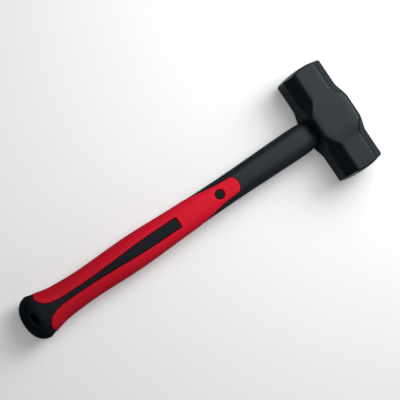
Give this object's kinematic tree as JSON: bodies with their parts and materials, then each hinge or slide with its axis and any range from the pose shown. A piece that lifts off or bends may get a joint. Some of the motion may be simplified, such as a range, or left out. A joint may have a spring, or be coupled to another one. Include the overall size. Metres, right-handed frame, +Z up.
{
  "type": "lump hammer",
  "caption": "Double-faced lump hammer: octagonal forged head with a square boss, resined onto a cored composite handle with a soft grip, black inlays and a flared butt with a hang hole.",
  "frame": {"origin": "on the bench plane at the centre of the lower cheek, straight under the middle of the eye", "axes": "+X along the handle from butt to crown, +Y along the head from one striking face to the other, +Z up out of the upper cheek"},
  "size_m": [0.4146, 0.125, 0.0494],
  "materials": {
    "forged_black": "satin black over forged steel",
    "resin": "set epoxy, glossy",
    "seal_rubber": "plain black rubber",
    "glass_fibre": "cut end of pultruded glass fibre",
    "hard_black": "fine-grained satin polypropylene",
    "soft_red": "matt red thermoplastic rubber",
    "soft_black": "matt black thermoplastic rubber"
  },
  "bodies": {
    "root": {"hammer_head": "forged_black", "eye_epoxy": "resin", "eye_seal": "seal_rubber", "fibreglass_core": "glass_fibre", "handle_jacket": "hard_black", "soft_grip": "soft_red", "palm_inlay_front": "soft_black", "palm_inlay_back": "soft_black", "tongue_plug_front": "soft_black", "tongue_plug_back": "soft_black", "butt_cap": "soft_black"}
  },
  "joints": []
}
